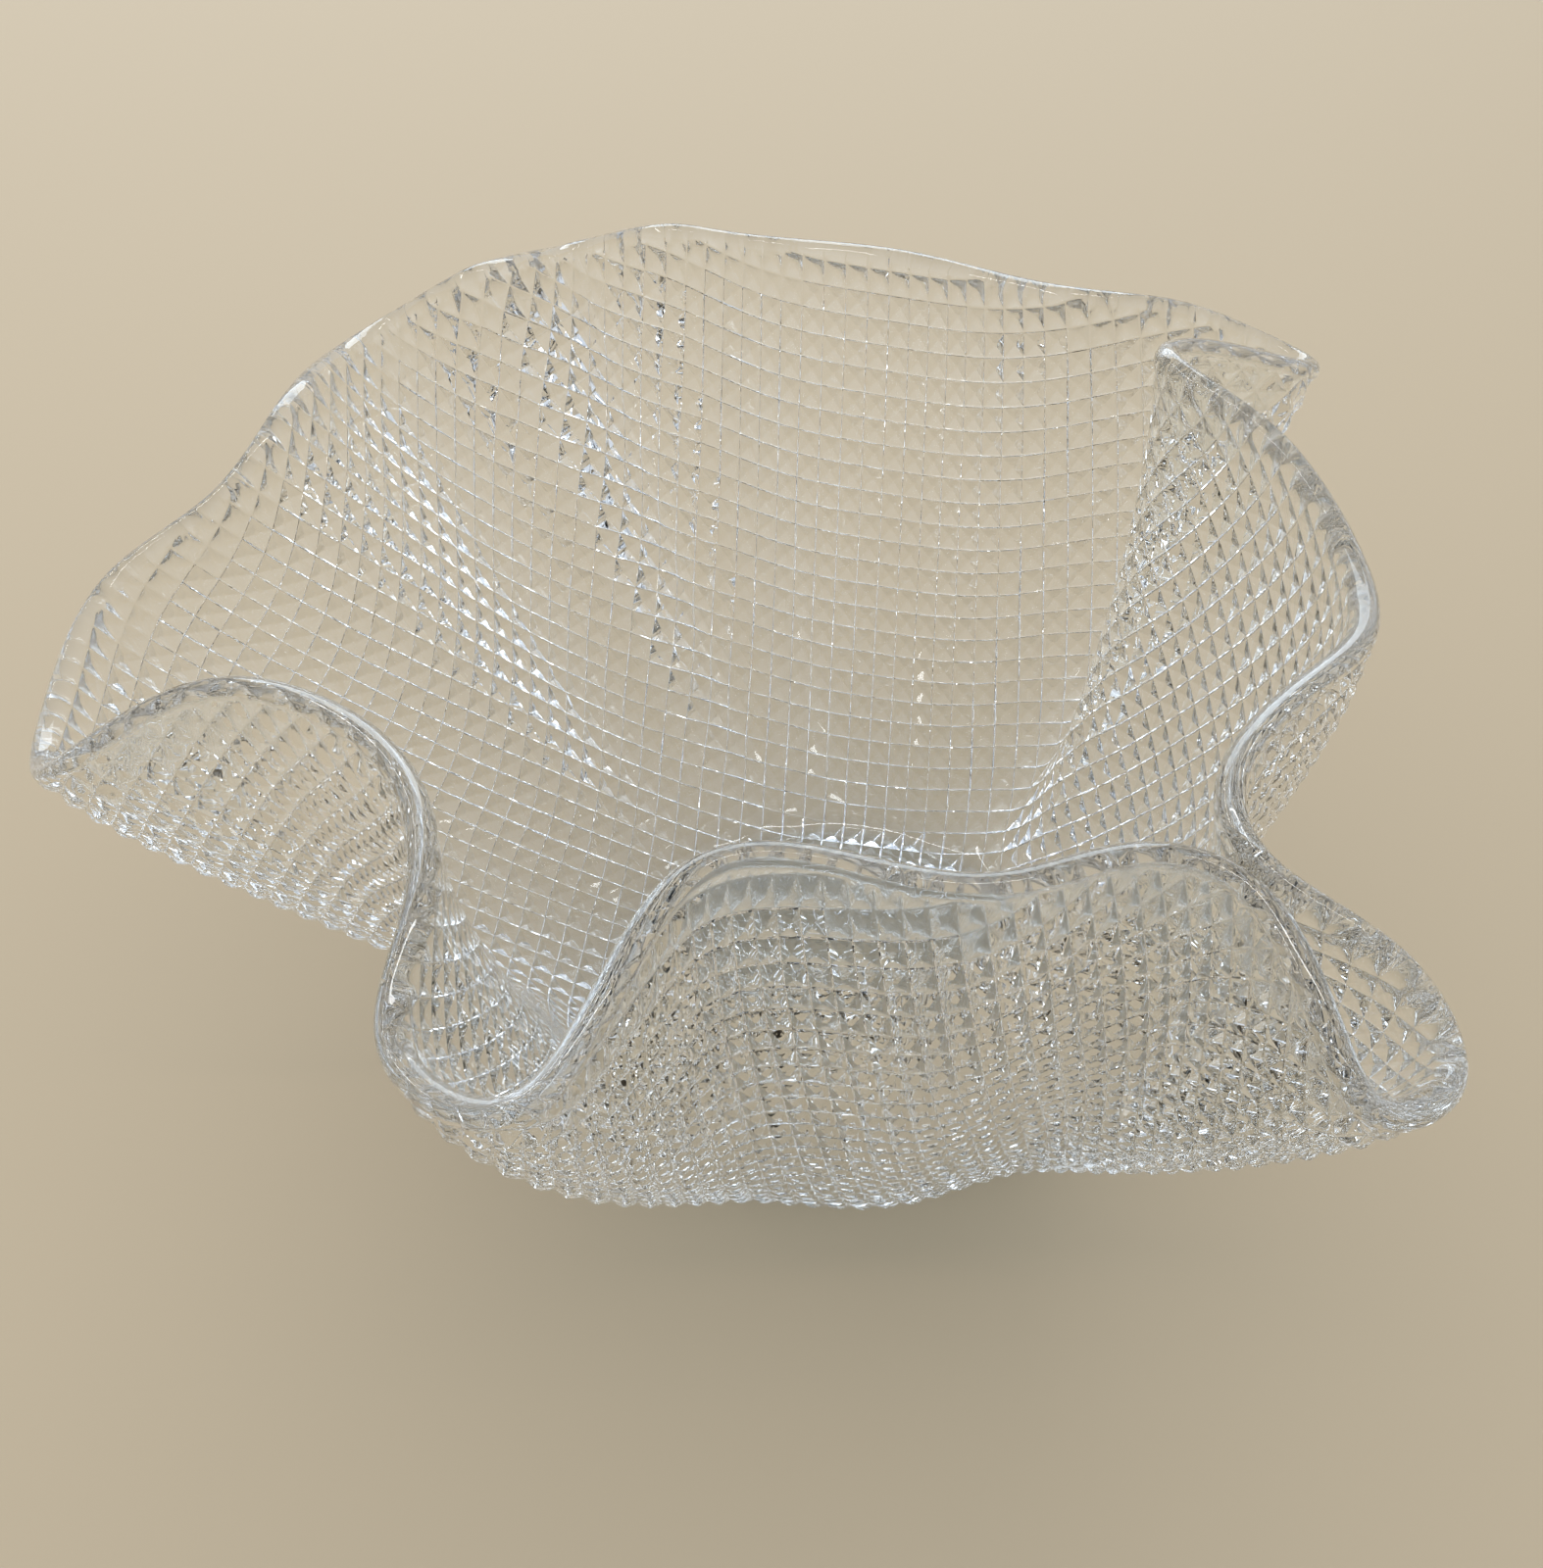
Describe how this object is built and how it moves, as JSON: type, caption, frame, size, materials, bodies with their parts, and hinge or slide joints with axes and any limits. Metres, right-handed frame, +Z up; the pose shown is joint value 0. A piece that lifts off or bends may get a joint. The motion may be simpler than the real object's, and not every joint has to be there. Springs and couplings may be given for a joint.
{
  "type": "handkerchief vase",
  "caption": "Clear glass handkerchief vase: a round sheet of pyramid-patterned glass slumped into a folded, ruffled cup with a flat round foot.",
  "frame": {"origin": "centre of the flat round foot, on the surface the vase stands on", "axes": "+Z up out of the mouth, +Y away from the viewer of the broad front face, +X to that viewer's right, along the longest side"},
  "size_m": [0.1566, 0.1482, 0.0974],
  "materials": {
    "glass": "clear rolled glass, fire-polished: rows of small square pyramids on the outside, smooth inside, melted rounded rim"
  },
  "bodies": {
    "root": {"vase": "glass"}
  },
  "joints": []
}
